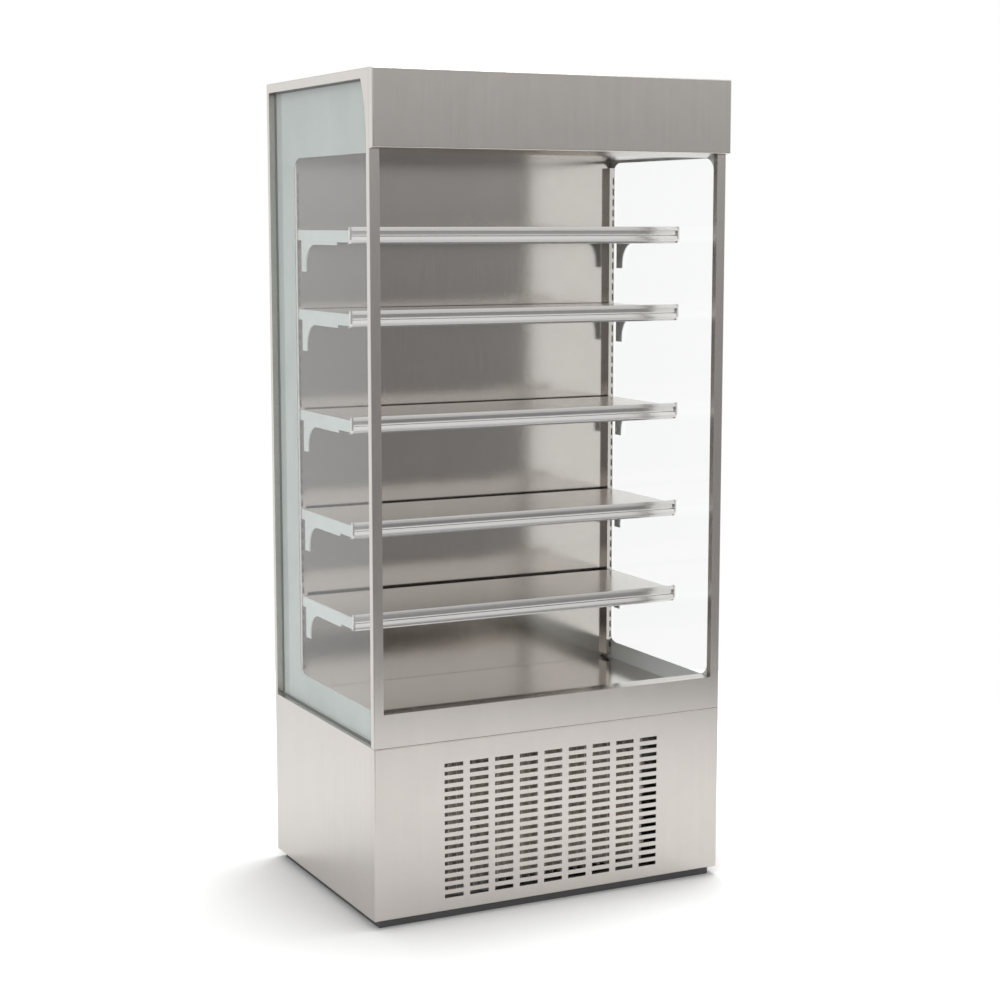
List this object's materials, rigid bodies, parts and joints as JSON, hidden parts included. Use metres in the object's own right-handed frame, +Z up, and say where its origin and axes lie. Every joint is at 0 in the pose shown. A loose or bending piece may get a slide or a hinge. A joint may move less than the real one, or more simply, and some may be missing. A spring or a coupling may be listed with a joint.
{
  "type": "open multideck display fridge",
  "caption": "Upright open-front display fridge: stainless cabinet with glazed sides, adjustable shelves, canopy header and a slotted condensing-unit base.",
  "frame": {"origin": "centre of the footprint on the floor", "axes": "+Z up, front opening faces -Y, +X to the right seen from the front"},
  "size_m": [0.864, 0.61, 1.822],
  "materials": {
    "brushed_stainless": "brushed stainless steel, vertical grain",
    "polished_stainless": "bright annealed stainless steel",
    "liner_white": "white powder coat, satin",
    "galvanised": "galvanised sheet",
    "black_frame": "black powder coat",
    "clear_glass": "clear tempered glass",
    "gasket_rubber": "grey rubber",
    "black_rubber": "black rubber",
    "foam": "rigid insulating foam",
    "anodised": "satin anodised",
    "opal": "opal diffuser",
    "coil": "bare fins",
    "black_plastic": "matt black",
    "white_plastic": "matt white",
    "copper": "bare copper tube",
    "compressor_black": "gloss black enamel"
  },
  "bodies": {
    "cabinet": {"air_outlet_honeycomb": "white_plastic", "back_liner": "polished_stainless", "back_panel": "galvanised", "base_pan": "galvanised", "canopy_soffit": "polished_stainless", "compressor": "compressor_black", "compressor_mounts": "black_rubber", "condensate_pan": "black_plastic", "condenser_coil": "coil", "condenser_fan_motor": "black_frame", "condenser_shroud": "galvanised", "control_box": "galvanised", "evaporator_coil": "coil", "evaporator_fan_plate": "galvanised", "front_frame": "brushed_stainless", "glazing_gaskets": "gasket_rubber", "header_fascia": "brushed_stainless", "insulation_back": "foam", "insulation_canopy": "foam", "insulation_tub": "foam", "led_diffuser": "opal", "led_profile": "anodised", "plinth_frame": "black_frame", "rear_vent_panel": "galvanised", "refrigerant_lines": "copper", "roof_panel": "brushed_stainless", "shelf_brackets_1": "liner_white", "shelf_brackets_2": "liner_white", "shelf_brackets_3": "liner_white", "shelf_brackets_4": "liner_white", "shelf_brackets_5": "liner_white", "shelf_upright_left": "polished_stainless", "shelf_upright_right": "polished_stainless", "side_frame_left": "brushed_stainless", "side_frame_right": "brushed_stainless", "side_glass_left": "clear_glass", "side_glass_right": "clear_glass", "side_liner_left": "liner_white", "side_liner_right": "liner_white", "side_panel_left": "brushed_stainless", "side_panel_right": "brushed_stainless", "tub_support": "galvanised", "well_liner": "polished_stainless"},
    "service_cover": {"service_panel": "brushed_stainless"},
    "deck": {"deck_pan": "polished_stainless"},
    "air_grille": {"return_air_grille": "polished_stainless"},
    "condenser_rotor": {"condenser_fan": "black_plastic"},
    "rocker": {"light_switch": "black_plastic"},
    "shelf_1": {"shelf_pan_1": "brushed_stainless", "price_rail_1": "anodised"},
    "shelf_2": {"shelf_pan_2": "brushed_stainless", "price_rail_2": "anodised"},
    "shelf_3": {"shelf_pan_3": "brushed_stainless", "price_rail_3": "anodised"},
    "shelf_4": {"shelf_pan_4": "brushed_stainless", "price_rail_4": "anodised"},
    "shelf_5": {"shelf_pan_5": "brushed_stainless", "price_rail_5": "anodised"},
    "duct_rotor_1": {"evaporator_fan_1": "black_plastic"},
    "duct_rotor_2": {"evaporator_fan_2": "black_plastic"}
  },
  "joints": [
    {"name": "service_panel_pull", "type": "slide", "parent": "cabinet", "child": "service_cover", "axis": [0, -1, 0], "range_m": [0, 0.1]},
    {"name": "deck_lift", "type": "slide", "parent": "cabinet", "child": "deck", "axis": [0, 0, 1], "range_m": [0, 0.08]},
    {"name": "air_grille_lift", "type": "slide", "parent": "cabinet", "child": "air_grille", "axis": [0, 0, 1], "range_m": [0, 0.08]},
    {"name": "shelf_1_lift", "type": "slide", "parent": "cabinet", "child": "shelf_1", "axis": [0, 0, 1], "range_m": [0, 0.06]},
    {"name": "shelf_2_lift", "type": "slide", "parent": "cabinet", "child": "shelf_2", "axis": [0, 0, 1], "range_m": [0, 0.06]},
    {"name": "shelf_3_lift", "type": "slide", "parent": "cabinet", "child": "shelf_3", "axis": [0, 0, 1], "range_m": [0, 0.06]},
    {"name": "shelf_4_lift", "type": "slide", "parent": "cabinet", "child": "shelf_4", "axis": [0, 0, 1], "range_m": [0, 0.06]},
    {"name": "shelf_5_lift", "type": "slide", "parent": "cabinet", "child": "shelf_5", "axis": [0, 0, 1], "range_m": [0, 0.06]},
    {"name": "condenser_fan_spin", "type": "hinge", "parent": "cabinet", "child": "condenser_rotor", "pos_m": [-0.015, -0.154, 0.2035], "axis": [0, 1, 0], "continuous": true},
    {"name": "evaporator_fan_1_spin", "type": "hinge", "parent": "cabinet", "child": "duct_rotor_1", "pos_m": [-0.19008, 0.228, 0.599], "axis": [0, 0, 1], "continuous": true},
    {"name": "evaporator_fan_2_spin", "type": "hinge", "parent": "cabinet", "child": "duct_rotor_2", "pos_m": [0.19008, 0.228, 0.599], "axis": [0, 0, 1], "continuous": true},
    {"name": "light_switch_rock", "type": "hinge", "parent": "cabinet", "child": "rocker", "pos_m": [0.348, -0.257, 0.3], "axis": [-1, 0, 0], "range_deg": [0, 16]}
  ]
}
